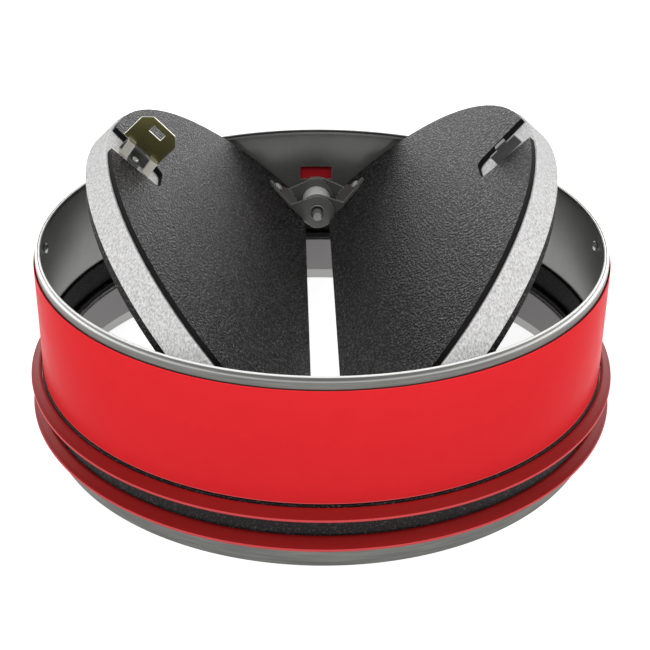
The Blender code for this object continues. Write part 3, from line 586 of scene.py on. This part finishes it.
def stop_ring_metal():
    """Plain sheet with a painted highlight as a pale band round its lip, pale edges, partly wear and
    partly painted highlight, and black along the lip's very edge.
    """
    black_edge_width, highlight_band = 0.12 * MM, 1.2 * MM
    made, tree, shader = new_material("stop_ring_metal", roughness=0.5, metallic=0.3)
    grain = use_group(tree, GRAIN, Scale=900.0, Stretch=3.0)
    past_black_edge = use_group(tree, BEYOND, Radius=STOP_INNER_R + black_edge_width)
    edge_wear_and_highlight = use_group(tree, EDGES, Width=0.4 * MM, Breakup=0.35)
    plain = mix_colours(tree, colour(176, 172, 173), colour(186, 182, 183), grain, "Shade")
    # Pale edges: partly wear, partly painted highlight
    edged = mix_colours(tree, plain, colour(235, 235, 232), edge_wear_and_highlight, "Mask")
    # Painted highlight: a pale band on the lip next to its edge, where the lip lies in shade
    past_highlight_band = use_group(tree, BEYOND, Radius=STOP_INNER_R + highlight_band)
    lined = mix_colours(tree, colour(244, 244, 242), edged, past_highlight_band, "Mask")
    body = mix_colours(tree, colour(14, 13, 13), lined, past_black_edge, "Mask")
    tree.links.new(body, shader.inputs["Base Color"])
    bump(tree, shader, grain, "Height", depth=0.01 * MM, strength=0.15)
    return made


def bead_painted_light():
    """The rim's bead: a painted highlight on top and outside, and painted shade on the side towards the
    bore.
    """
    made, tree, shader = new_material("bead_painted_light", roughness=0.3, metallic=0.1)
    grain = use_group(tree, GRAIN, Scale=900.0)
    away = use_group(tree, OUTWARD)
    # Painted highlight on the top and outer faces, painted shade on the faces towards the bore
    bright = mix_colours(tree, colour(232, 232, 230), colour(248, 248, 246), grain, "Shade")
    body = mix_colours(tree, colour(50, 50, 50), bright, away, "Mask")
    tree.links.new(body, shader.inputs["Base Color"])
    bump(tree, shader, grain, "Height", depth=0.01 * MM, strength=0.15)
    return made


# Pale edge colour for plated metal: partly wear, partly a painted highlight
ZINC_EDGE_WORN_AND_LIT = colour(240, 240, 236)
MATERIALS = {
    "galvanised": casing_sheet(),
    "bead_painted_light": bead_painted_light(),
    "stop_ring_metal": stop_ring_metal(),
    "zinc": plated_metal("zinc", colour(92, 92, 89), colour(110, 110, 107), ZINC_EDGE_WORN_AND_LIT,
                         roughness=0.42, edge_width=0.3 * MM, metallic=0.55),
    "bright_zinc": plated_metal("bright_zinc", colour(190, 190, 188), colour(214, 214, 212), ZINC_EDGE_WORN_AND_LIT,
                                roughness=0.24, edge_width=0.2 * MM, metallic=0.7),
    "pin_steel": plated_metal("pin_steel", colour(124, 124, 123), colour(142, 142, 141),
                              colour(170, 170, 168), roughness=0.28, edge_width=0.15 * MM, metallic=0.6),
    # The bush: painted shade on its faces and ends, painted light on its sides
    "bush_steel_painted_light": lit_and_shaded_metal("bush_steel_painted_light", metallic=0.35,
                           shaded_face_colours=(colour(84, 84, 82), colour(98, 98, 95)),
                           lit_side_colours=(colour(190, 190, 188), colour(208, 208, 206)),
                           edge=colour(120, 120, 118)),
    "dark_steel": plated_metal("dark_steel", colour(78, 78, 78), colour(96, 96, 95),
                               colour(190, 190, 188), roughness=0.5, edge_width=0.25 * MM, metallic=0.5,
                               grain_scale=1500.0),
    # The link's brass: painted shade on its flat faces, painted light on prongs and sides, painted
    # highlight on edges
    "brass": lit_and_shaded_metal("brass", metallic=0.85,
                      shaded_face_colours=(colour(106, 102, 64), colour(116, 111, 72)),
                      lit_side_colours=(colour(214, 211, 200), colour(228, 225, 214)),
                      edge=colour(244, 243, 206)),
    "spring_steel": plated_metal("spring_steel", colour(120, 120, 118), colour(150, 150, 148), ZINC_EDGE_WORN_AND_LIT,
                                 roughness=0.3, edge_width=0.1 * MM, grain_scale=1800.0),
    "leather_skin_left": leather_skin("left"),
    "leather_skin_right": leather_skin("right"),
    "graphite": speckled_black("graphite", colour(12, 10, 10), colour(84, 78, 80), depth=0.3 * MM),
    "lower_skin": speckled_black("lower_skin", colour(22, 21, 21), colour(82, 80, 80), depth=0.25 * MM),
    "board": plaster_board(),
    "red_wrap": glossy_wrap(),
    "upper_rubber": red_rubber("upper_rubber", "upper_lip_seal"),
    "lower_rubber": red_rubber("lower_rubber", "lower_lip_seal"),
}


# Modelling helpers

def only(obj):
    """Select one object and make it the active one."""
    bpy.ops.object.select_all(action="DESELECT")
    obj.select_set(True)
    bpy.context.view_layer.objects.active = obj


def start_piece():
    """Let nothing be selected or active before a new piece."""
    bpy.ops.object.select_all(action="DESELECT")
    bpy.context.view_layer.objects.active = None


def apply_place(obj):
    """Apply a piece's place, turn and scale to its mesh."""
    only(obj)
    bpy.ops.object.transform_apply(location=True, rotation=True, scale=True)


def apply_modifiers(obj):
    """Apply a piece's modifiers from the first to the last."""
    only(obj)
    for step in list(obj.modifiers):
        bpy.ops.object.modifier_apply(modifier=step.name)


def bevel(obj, width):
    """Round the sharp edges by a real width, and apply it."""
    step = obj.modifiers.new("rounding", "BEVEL")
    step.width = width
    step.segments = 2
    step.limit_method = "ANGLE"
    step.angle_limit = radians(30)
    step.use_clamp_overlap = True
    apply_modifiers(obj)


def cut(obj, cutter):
    """Cut one object out of another and throw the cutter away."""
    step = obj.modifiers.new("cut", "BOOLEAN")
    step.operation = "DIFFERENCE"
    step.solver = "EXACT"
    step.object = cutter
    apply_modifiers(obj)
    bpy.data.objects.remove(cutter, do_unlink=True)


def finish_piece(obj, name, finish, body, nodes, smooth=35, flat_faces=False):
    """Name a piece, smooth it, give it its finish, hide the CAD nodes it stands for, and let it ride on
    its body.
    """
    obj.name = name
    obj.data.name = name
    obj.data.materials.clear()
    obj.data.materials.append(MATERIALS[finish])
    only(obj)
    bpy.ops.object.shade_smooth_by_angle(angle=radians(smooth))
    if flat_faces:
        step = obj.modifiers.new("flat_faces", "WEIGHTED_NORMAL")
        step.keep_sharp = True
        apply_modifiers(obj)
    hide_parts(*nodes)
    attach(obj, body)


def turned(profile, steps=RING_STEPS, closed=True):
    """A ring, or a solid with flat ends, extruded point by point along its outline."""
    start_piece()
    radius, height = profile[0]
    bpy.ops.mesh.primitive_circle_add(vertices=steps, radius=radius, enter_editmode=True)
    bpy.ops.mesh.select_all(action="SELECT")
    bpy.ops.transform.translate(value=(0.0, 0.0, height))
    for (last_r, last_z), (r, z) in zip(profile, profile[1:]):
        bpy.ops.mesh.extrude_edges_move(TRANSFORM_OT_translate={"value": (0.0, 0.0, z - last_z)})
        bpy.ops.transform.resize(value=(r / last_r, r / last_r, 1.0), center_override=(0.0, 0.0, 0.0))
    bpy.ops.mesh.select_all(action="DESELECT")
    bpy.ops.mesh.select_non_manifold()
    if closed:
        bpy.ops.mesh.bridge_edge_loops()
    else:
        bpy.ops.mesh.fill_holes(sides=0)
    bpy.ops.mesh.select_all(action="SELECT")
    bpy.ops.mesh.normals_make_consistent(inside=False)
    bpy.ops.object.mode_set(mode="OBJECT")
    return bpy.context.active_object


def rounded(points, radius, steps=3):
    """Replace each corner of a closed (radius, height) outline by a small arc."""
    out = []
    count = len(points)
    for i in range(count):
        before, corner, after = (Vector(points[j % count]) for j in (i - 1, i, i + 1))
        to_before = before - corner
        to_after = after - corner
        reach = min(radius, 0.45 * to_before.length, 0.45 * to_after.length)
        first = corner + to_before.normalized() * reach
        last = corner + to_after.normalized() * reach
        for k in range(steps + 1):
            t = k / steps
            point = first * (1 - t) ** 2 + corner * (2 * t * (1 - t)) + last * t ** 2
            out.append((point.x, point.y))
    return out


def arc(first, last, steps):
    """Angles from the first to the last in even steps."""
    return [first + (last - first) * i / steps for i in range(steps + 1)]


def turn_z_to(direction):
    """The matrix that turns +Z to a direction."""
    return Vector((0.0, 0.0, 1.0)).rotation_difference(direction).to_matrix().to_4x4()


def node_copy(node, rounding=0.0):
    """A welded copy of a CAD node, with its sharp edges rounded where that's asked for."""
    source = frame["nodes"][node]
    made = bpy.data.objects.new(node + "_copy", source.data.copy())
    bpy.context.scene.collection.objects.link(made)
    only(made)
    bpy.ops.object.mode_set(mode="EDIT")
    bpy.ops.mesh.select_all(action="SELECT")
    bpy.ops.mesh.remove_doubles(threshold=1e-6)
    bpy.ops.mesh.dissolve_limited(angle_limit=radians(1.0))
    bpy.ops.object.mode_set(mode="OBJECT")
    if rounding:
        bevel(made, rounding)
    return made


# Casing and rings

def rim_outline():
    """The casing's section. Its rim curls over as far as the groove beside the bead."""
    curl_z = CASING_TOP - CURL_R
    curl_x = CASING_OUTER_R - CURL_R
    hem_z = CASING_TOP - HEM_DROP
    outside = [(CASING_OUTER_R - CASING_CHAMFER, 0.0), (CASING_OUTER_R, CASING_CHAMFER)]
    curl = [(curl_x + CURL_R * cos(a), curl_z + CURL_R * sin(a)) for a in arc(0.0, CURL_TURN, CURL_STEPS)]
    groove = [(BEAD_OUTER_R + 0.02 * MM, CASING_TOP - 0.55 * MM),
              (HEM_INNER_R + 0.3 * MM, CASING_TOP - 0.6 * MM)]
    hem = [(HEM_INNER_R + 0.1 * MM, hem_z),
           (HEM_INNER_R + 0.3 * MM, hem_z - CASING_CHAMFER),
           (CASING_INNER_R, hem_z - CASING_CHAMFER)]
    inside = [(CASING_INNER_R, CASING_CHAMFER), (CASING_INNER_R + CASING_CHAMFER, 0.0)]
    return outside + curl + groove + hem + inside


def model_bead():
    """The bead that closes the curl along its inner edge, with a painted highlight on top and painted
    shade towards the bore.
    """
    radius = (BEAD_OUTER_R - HEM_INNER_R) / 2
    middle = HEM_INNER_R + radius
    outline = [(middle + radius * cos(a), CASING_TOP - radius + radius * sin(a))
               for a in arc(0.0, 2 * pi, BEAD_STEPS)[:-1]]
    finish_piece(turned(outline), "rim_bead", "bead_painted_light", "casing", [], smooth=80)


def box_cutter(low, high):
    """A box between two corners."""
    start_piece()
    bpy.ops.mesh.primitive_cube_add(size=1.0)
    made = bpy.context.active_object
    made.scale = [b - a for a, b in zip(low, high)]
    made.location = [(a + b) / 2 for a, b in zip(low, high)]
    apply_place(made)
    return made


def model_casing():
    """The casing with its rolled rim and the window in its rear wall."""
    made = turned(rim_outline())
    cut(made, box_cutter((-WINDOW_HALF, CASING_INNER_R - CUTTER_REACH, WINDOW_LOW),
                         (WINDOW_HALF, CASING_OUTER_R + CUTTER_REACH, WINDOW_HIGH)))
    finish_piece(made, "casing_shell", "galvanised", "casing", ["casing"])


def model_ring(node, finish, rounding, narrower=0.0):
    """A plain ring with rounded edges at its CAD node's sizes, its bore widened where that's asked for."""
    low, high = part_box(node)
    inner, outer = inner_radius(node) + narrower, high.x
    made = turned(rounded([(outer, low.z), (outer, high.z), (inner, high.z), (inner, low.z)], rounding))
    finish_piece(made, node + "_ring", finish, "casing", [node])


def model_lip(node, finish, rise):
    """A soft lip: a root on the strip, raised a little, and rubber that flares out and down from it."""
    low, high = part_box(node)
    edge_r, edge_z = high.x, low.z
    root_r, root_z = inner_radius(node), high.z + rise
    edge = [(edge_r, edge_z + 0.1 * MM),
            (edge_r - 0.1 * MM, edge_z + 0.95 * MM),
            (edge_r - 1.2 * MM, edge_z + 1.45 * MM + rise * 0.3)]
    root = [(root_r + 0.9 * MM, root_z - 0.15 * MM),
            (root_r, root_z),
            (root_r, root_z - 1.9 * MM)]
    underside = [(root_r + 0.8 * MM, root_z - 1.85 * MM),
                 (edge_r - 0.9 * MM, edge_z)]
    made = turned(rounded(edge + root + underside, 0.25 * MM))
    finish_piece(made, node + "_ring", finish, "casing", [node], smooth=60)


def model_stop_ring():
    """The stop ring: a leg along the casing's wall and a lip turned inwards at its top."""
    low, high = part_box("stop_ring")
    outer, top, bottom = high.x, high.z, low.z
    outline = [(outer, bottom), (outer, top), (STOP_INNER_R, top), (STOP_INNER_R, top - STOP_SHEET),
               (outer - STOP_SHEET, top - STOP_SHEET), (outer - STOP_SHEET, bottom)]
    made = turned(rounded(outline, 0.2 * MM))
    finish_piece(made, "stop_ring_sheet", "stop_ring_metal", "casing", ["stop_ring"])


def model_rings():
    """The casing and every ring on it."""
    model_casing()
    model_bead()
    model_ring("wrap_sleeve", "red_wrap", rounding=0.12 * MM)
    model_ring("outer_intumescent_strip", "graphite", rounding=0.15 * MM)
    model_ring("inner_intumescent_band", "graphite", rounding=0.15 * MM)
    model_ring("blade_seal", "graphite", rounding=0.3 * MM, narrower=1.0 * MM)
    model_lip("upper_lip_seal", "upper_rubber", rise=0.4 * MM)
    model_lip("lower_lip_seal", "lower_rubber", rise=1.0 * MM)
    model_stop_ring()


# Turned hardware

def node_extent(node, matrix):
    """The lowest and highest corners of a CAD node in another frame."""
    into_frame = matrix.inverted()
    points = [into_frame @ vertex.co for vertex in frame["nodes"][node].data.vertices]
    low = Vector([min(point[axis] for point in points) for axis in range(3)])
    high = Vector([max(point[axis] for point in points) for axis in range(3)])
    return low, high


def model_rivet(node, body, matrix, shank_r):
    """A smooth domed rivet along the Z axis of its own frame."""
    low, high = node_extent(node, matrix)
    head_r = (high.x - low.x) / 2
    seat = high.z - HEAD_HIGH
    dome = [(head_r * sin(a), seat + HEAD_RIM + (HEAD_HIGH - HEAD_RIM) * cos(a))
            for a in arc(DOME_FLAT, pi / 2, DOME_STEPS)]
    shank = [(head_r, seat), (shank_r, seat), (shank_r, low.z)]
    made = turned(dome + shank, SMALL_STEPS, closed=False)
    centre = Matrix.Translation(((low.x + high.x) / 2, (low.y + high.y) / 2, 0.0))
    made.matrix_world = matrix @ centre
    apply_place(made)
    finish_piece(made, node + "_domed", "bright_zinc", body, [node], smooth=50)


def model_side_rivet(node):
    """A rivet through the casing's side, with its head towards the bore."""
    low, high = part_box(node)
    middle = (low + high) / 2
    inwards = Vector((-middle.x, -middle.y, 0.0))
    model_rivet(node, "casing", Matrix.Translation(middle) @ turn_z_to(inwards), shank_r=1.0 * MM)


def hinge_frame(end):
    """The frame of one hinge: Z along the pin towards the casing's wall."""
    outwards = Vector((0.0, ENDS[end], 0.0))
    return Matrix.Translation((0.0, 0.0, PIN_Z)) @ turn_z_to(outwards)


def model_pin(end):
    """The pin, with a chamfered end and a groove, and the boss that carries it."""
    node = "hinge_pin_" + end
    low, high = node_extent(node, hinge_frame(end))
    chamfer = [(PIN_R - 0.4 * MM, low.z), (PIN_R, low.z + 0.35 * MM)]
    groove_r = PIN_R - 0.25 * MM
    groove = [(PIN_R, low.z + 1.5 * MM), (groove_r, low.z + 1.65 * MM),
              (groove_r, low.z + 2.0 * MM), (PIN_R, low.z + 2.15 * MM)]
    boss_start = BUSH_END + SEAT_GAP
    boss = [(PIN_R, boss_start), (BOSS_R - 0.2 * MM, boss_start),
            (BOSS_R, boss_start + 0.2 * MM), (BOSS_R, high.z)]
    made = turned(chamfer + groove + boss, SMALL_STEPS, closed=False)
    made.matrix_world = hinge_frame(end)
    apply_place(made)
    finish_piece(made, "turned_pin_" + end, "pin_steel", "casing", [node], smooth=30)


def model_bush(end):
    """The bush: a tube with a rolled nose, a thick middle between two shoulders, and a stepped bore."""
    node = "hinge_bush_" + end
    low, high = node_extent(node, hinge_frame(end))
    nose_r, tube_r, middle_r = 3.3 * MM, 2.95 * MM, (high.x - low.x) / 2
    nose_bore_r, bore_r = 2.7 * MM, 2.05 * MM
    nose_end, bore_step = low.z + 0.5 * MM, low.z + 2.0 * MM
    shoulder, far_shoulder = low.z + 3.0 * MM, low.z + 13.7 * MM
    nose = [(nose_r, low.z), (nose_r, nose_end), (tube_r, nose_end)]
    middle = [(tube_r, shoulder), (middle_r, shoulder), (middle_r, far_shoulder), (tube_r, far_shoulder)]
    bore = [(tube_r, high.z), (bore_r, high.z), (bore_r, bore_step),
            (nose_bore_r, bore_step), (nose_bore_r, low.z)]
    made = turned(rounded(nose + middle + bore, 0.15 * MM, steps=2), SMALL_STEPS)
    made.matrix_world = hinge_frame(end)
    apply_place(made)
    finish_piece(made, "turned_bush_" + end, "bush_steel_painted_light", "casing", [node], smooth=50)


def model_spring(side):
    """The closing spring's wire, made rounder than its CAD node."""
    made = node_copy("closing_spring_" + side)
    step = made.modifiers.new("rounder", "SUBSURF")
    step.levels = 1
    apply_modifiers(made)
    finish_piece(made, "spring_wire_" + side, "spring_steel", "blade_" + side,
                 ["closing_spring_" + side], smooth=60)


# Blades

def dress_copy(node, name, finish, body, rounding):
    """A rounded copy of a CAD node takes that node's place."""
    made = node_copy(node, rounding)
    finish_piece(made, name, finish, body, [node], flat_faces=True)


def dress_blade(side):
    """The board, both skins, and the hardware that rides on one blade."""
    body = "blade_" + side
    dress_copy("blade_core_" + side, "board_" + side, "board", body, rounding=0.25 * MM)
    dress_copy("upper_skin_" + side, "leather_face_" + side, "leather_skin_" + side, body,
               rounding=0.3 * MM)
    dress_copy("lower_skin_" + side, "under_face_" + side, "lower_skin", body, rounding=0.3 * MM)
    for end in ENDS:
        hinge = end + "_" + side
        dress_copy("hinge_bracket_" + hinge, "bracket_sheet_" + hinge, "zinc", body, rounding=0.2 * MM)
        model_rivet("bracket_rivet_" + hinge, body, blade_frame(side), shank_r=1.0 * MM)
    dress_copy("catch_plate_" + side, "catch_sheet_" + side, "dark_steel", body, rounding=0.15 * MM)
    model_rivet("catch_rivet_" + side, body, blade_frame(side), shank_r=0.7 * MM)
    model_spring(side)


def dress_hinges():
    """The pins and bushes at both ends, and the casing's side rivets."""
    for end in ENDS:
        model_pin(end)
        model_bush(end)
    for side in SIDES:
        model_side_rivet("side_rivet_" + side)


def dress_link():
    """The two soldered plates of the fusible link."""
    for plate in ("front", "back"):
        dress_copy("fusible_link_" + plate, "link_sheet_" + plate, "brass", "blade_left",
                   rounding=0.12 * MM)


# Camera, floor and light

def set_camera():
    """The photograph's view: heading from +Y towards +X, pitch down and roll, with its own lens."""
    place = (-0.01293, -0.45145, 0.28109)
    heading, pitch, roll = radians(1.794), radians(29.012), radians(0.526)
    camera = bpy.data.cameras.new("camera")
    camera.sensor_width = 36.0
    camera.lens = 80.53
    camera.clip_start = 0.01
    made = bpy.data.objects.new("camera", camera)
    bpy.context.scene.collection.objects.link(made)
    made.matrix_world = (Matrix.Translation(place)
                         @ Matrix.Rotation(-heading, 4, "Z") @ Matrix.Rotation(pi / 2 - pitch, 4, "X")
                         @ Matrix.Rotation(roll, 4, "Z"))
    bpy.context.scene.camera = made


def background_factor(tree):
    """1 for what the camera sees directly, or in metal and glass, and 0 for light on a surface."""
    path = add(tree, "LightPath")
    first = add(tree, "Math", operation="MAXIMUM")
    second = add(tree, "Math", operation="MAXIMUM")
    link(tree, path, "Is Camera Ray", first, 0)
    link(tree, path, "Is Glossy Ray", first, 1)
    link(tree, first, "Value", second, 0)
    link(tree, path, "Is Transmission Ray", second, 1)
    return second


def lay_floor():
    """A white floor that meets the background without a line."""
    bpy.ops.object.select_all(action="DESELECT")
    bpy.ops.mesh.primitive_plane_add(size=6.0, location=(0.0, 0.0, 0.0))
    floor = bpy.context.active_object
    floor.name = "floor"
    made, tree, shader = new_material("floor", roughness=0.9, specular=0.0)
    shader.inputs["Base Color"].default_value = (0.5, 0.5, 0.5, 1.0)
    seen = background_factor(tree)
    strength = add(tree, "Math", {1: 0.9}, operation="MULTIPLY")
    link(tree, seen, "Value", strength, 0)
    shader.inputs["Emission Color"].default_value = (1.0, 1.0, 1.0, 1.0)
    link(tree, strength, "Value", shader, "Emission Strength")
    floor.data.materials.append(made)


def set_world():
    """White to the camera. Gloss sees more light at the back and sides and little overhead."""
    world = bpy.data.worlds.new("studio")
    bpy.context.scene.world = world
    world.use_nodes = True
    tree = world.node_tree
    shader = tree.nodes["Background"]
    shader.inputs["Color"].default_value = (1.0, 1.0, 1.0, 1.0)
    place = add(tree, "TexCoord")
    split = add(tree, "SeparateXYZ")
    beside = add(tree, "Math", operation="ABSOLUTE")
    # A direction's parts: X to the right, Y to the back and Z up
    link(tree, place, "Generated", split, "Vector")
    link(tree, split, "X", beside, 0)
    back = span(tree, split, "Y", -0.7, 0.8, to_low=0.5, to_high=2.5, shape="SMOOTHSTEP")
    sides = span(tree, beside, "Value", 0.15, 0.9, to_low=1.0, to_high=2.3, shape="SMOOTHSTEP")
    height = span(tree, split, "Z", 0.12, 0.5, to_low=1.0, to_high=0.07, shape="SMOOTHSTEP")
    around = add(tree, "Math", operation="MULTIPLY")
    studio = add(tree, "Math", operation="MULTIPLY")
    link(tree, back, "Result", around, 0)
    link(tree, sides, "Result", around, 1)
    link(tree, around, "Value", studio, 0)
    link(tree, height, "Result", studio, 1)
    seen = background_factor(tree)
    path = add(tree, "LightPath")
    # Dull surfaces get even light, and the camera never sees less than white
    graded = add(tree, "MapRange", {"To Min": 0.55})
    strength = add(tree, "Math", operation="MAXIMUM")
    link(tree, seen, "Value", graded, "Value")
    link(tree, studio, "Value", graded, "To Max")
    link(tree, graded, "Result", strength, 0)
    link(tree, path, "Is Camera Ray", strength, 1)
    link(tree, strength, "Value", shader, "Strength")


def soft_lamp(name, place, power):
    """A round lamp aimed at the damper, which gloss and metal don't show."""
    target = Vector((0.0, 0.0, 0.05))
    lamp = bpy.data.lights.new(name, "AREA")
    lamp.shape = "DISK"
    lamp.size = 0.7
    lamp.energy = power
    made = bpy.data.objects.new(name, lamp)
    bpy.context.scene.collection.objects.link(made)
    made.location = place
    made.rotation_euler = (target - Vector(place)).to_track_quat("-Z", "Y").to_euler()
    made.visible_glossy = False


def set_light():
    """The studio and two soft lamps."""
    set_world()
    soft_lamp("key", (-0.5, -0.5, 1.2), power=9.0)
    soft_lamp("fill", (0.7, -0.3, 0.9), power=5.0)


model_rings()
for blade_side in SIDES:
    dress_blade(blade_side)
dress_hinges()
dress_link()
lay_floor()
set_light()
set_camera()
bpy.context.scene.view_settings.view_transform = "Standard"
